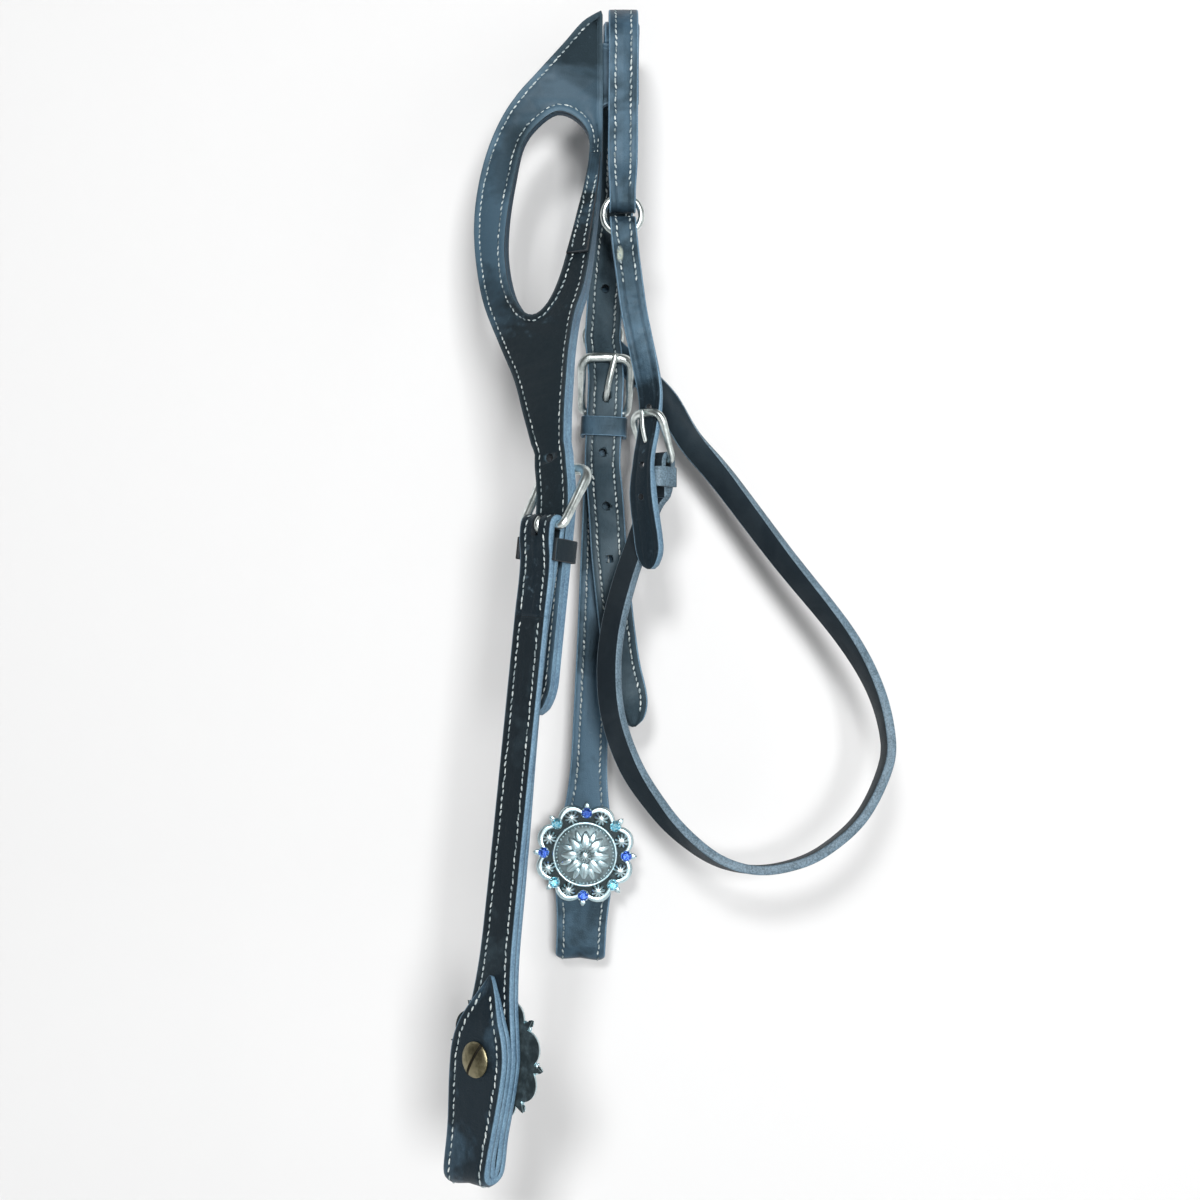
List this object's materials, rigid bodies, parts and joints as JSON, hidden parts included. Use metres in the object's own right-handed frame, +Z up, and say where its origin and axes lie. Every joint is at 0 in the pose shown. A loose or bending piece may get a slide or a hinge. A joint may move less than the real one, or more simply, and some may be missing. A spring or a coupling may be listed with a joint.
{
  "type": "one ear headstall",
  "caption": "Leather bridle headstall with a shaped ear opening, buckled doubled cheeks ending in concho-fastened bit loops, and a buckled throat latch hung from rings.",
  "frame": {"origin": "on the round support that the headstall hangs over, at its top, under the middle of the crown", "axes": "+X to the right in the picture, +Y away from the viewer and along the way the two halves hang apart, +Z up"},
  "size_m": [0.1825, 0.1334, 0.4735],
  "materials": {
    "black_leather": "smooth dressed leather with a soft sheen",
    "lining_leather": "plain lining leather, duller",
    "nickel": "nickel plated",
    "antique_silver": "antiqued silver plate",
    "antique_brass": "antiqued",
    "blue_stone": "faceted",
    "aqua_stone": "faceted"
  },
  "bodies": {
    "crown": {"crown_strap_outer": "black_leather", "crown_strap_lining": "lining_leather", "ear_piece_outer": "black_leather", "ear_piece_lining": "lining_leather", "ear_overlay": "lining_leather", "throat_hanger_outer": "black_leather", "throat_hanger_lining": "lining_leather"},
    "ring_1_body": {"ring_1": "nickel"},
    "throat_latch": {"throat_billet": "black_leather", "throat_strap": "black_leather", "throat_keeper": "black_leather"},
    "throat_buckle_body": {"throat_buckle": "nickel"},
    "throat_tongue_body": {"throat_tongue": "nickel"},
    "ring_2_body": {"ring_2": "nickel", "throat_strap_end": "black_leather"},
    "near_cheek": {"near_billet_outer": "black_leather", "near_billet_lining": "lining_leather", "near_cheek_outer": "black_leather", "near_cheek_lining": "lining_leather", "near_keeper": "black_leather"},
    "near_buckle_body": {"near_buckle": "nickel"},
    "near_tongue_body": {"near_tongue": "nickel"},
    "near_concho_body": {"near_concho": "antique_silver", "near_post": "nickel", "near_screw": "antique_brass", "near_stone_1": "blue_stone", "near_stone_2": "aqua_stone", "near_stone_3": "blue_stone", "near_stone_4": "aqua_stone", "near_stone_5": "blue_stone", "near_stone_6": "aqua_stone", "near_stone_7": "blue_stone", "near_stone_8": "aqua_stone"},
    "off_cheek": {"off_billet_outer": "black_leather", "off_billet_lining": "lining_leather", "off_cheek_outer": "black_leather", "off_cheek_lining": "lining_leather", "off_keeper": "black_leather"},
    "off_buckle_body": {"off_buckle": "nickel"},
    "off_tongue_body": {"off_tongue": "nickel"},
    "off_concho_body": {"off_concho": "antique_silver", "off_post": "nickel", "off_screw": "antique_brass", "off_stone_1": "blue_stone", "off_stone_2": "aqua_stone", "off_stone_3": "blue_stone", "off_stone_4": "aqua_stone", "off_stone_5": "blue_stone", "off_stone_6": "aqua_stone", "off_stone_7": "blue_stone", "off_stone_8": "aqua_stone"}
  },
  "joints": [
    {"name": "near_cheek_bend", "type": "hinge", "parent": "crown", "child": "near_cheek", "pos_m": [-0.00527, 0.0092, -0.13193], "axis": [0.999, 0, -0.0446], "range_deg": [-4, 3]},
    {"name": "near_buckle_rock", "type": "hinge", "parent": "near_cheek", "child": "near_buckle_body", "pos_m": [-0.0067, 0.0135, -0.1639], "axis": [0.999, 0, -0.0446], "range_deg": [0, 3.5]},
    {"name": "near_tongue_lift", "type": "hinge", "parent": "near_buckle_body", "child": "near_tongue_body", "pos_m": [-0.0067, 0.0135, -0.1639], "axis": [0.999, 0, -0.0446], "range_deg": [0, 3.5]},
    {"name": "near_concho_turn", "type": "hinge", "parent": "near_cheek", "child": "near_concho_body", "pos_m": [-0.01549, 0.0085, -0.3607], "axis": [0, -1, 0], "continuous": true},
    {"name": "off_cheek_bend", "type": "hinge", "parent": "crown", "child": "off_cheek", "pos_m": [-0.02749, -0.08341, -0.18812], "axis": [-0.7632, 0.6449, 0.0394], "range_deg": [0, 25]},
    {"name": "off_buckle_rock", "type": "hinge", "parent": "off_cheek", "child": "off_buckle_body", "pos_m": [-0.033, -0.088, -0.2196], "axis": [-0.7632, 0.6449, 0.0394], "range_deg": [0, 3.5]},
    {"name": "off_tongue_lift", "type": "hinge", "parent": "off_buckle_body", "child": "off_tongue_body", "pos_m": [-0.033, -0.088, -0.2196], "axis": [-0.7632, 0.6449, 0.0394], "range_deg": [0, 3.5]},
    {"name": "off_concho_turn", "type": "hinge", "parent": "off_cheek", "child": "off_concho_body", "pos_m": [-0.04674, -0.09225, -0.41614], "axis": [0.6404, 0.7632, -0.0867], "continuous": true},
    {"name": "ring_1_swing", "type": "hinge", "parent": "crown", "child": "ring_1_body", "pos_m": [0.0008, -0.01605, -0.0771], "axis": [-1, 0, 0], "range_deg": [0, 10]},
    {"name": "throat_latch_swing", "type": "hinge", "parent": "ring_1_body", "child": "throat_latch", "pos_m": [0.0008, -0.01605, -0.0901], "axis": [-1, 0, 0], "range_deg": [0, 12]},
    {"name": "throat_buckle_rock", "type": "hinge", "parent": "throat_latch", "child": "throat_buckle_body", "pos_m": [0.0142, -0.01, -0.1882], "axis": [1, 0, 0], "range_deg": [0, 3.5]},
    {"name": "throat_tongue_lift", "type": "hinge", "parent": "throat_buckle_body", "child": "throat_tongue_body", "pos_m": [0.0142, -0.01, -0.1882], "axis": [1, 0, 0], "range_deg": [0, 3.5]},
    {"name": "ring_2_swing", "type": "hinge", "parent": "crown", "child": "ring_2_body", "pos_m": [-0.0074, 0.01605, -0.1227], "axis": [1, 0, 0], "range_deg": [0, 10]}
  ]
}
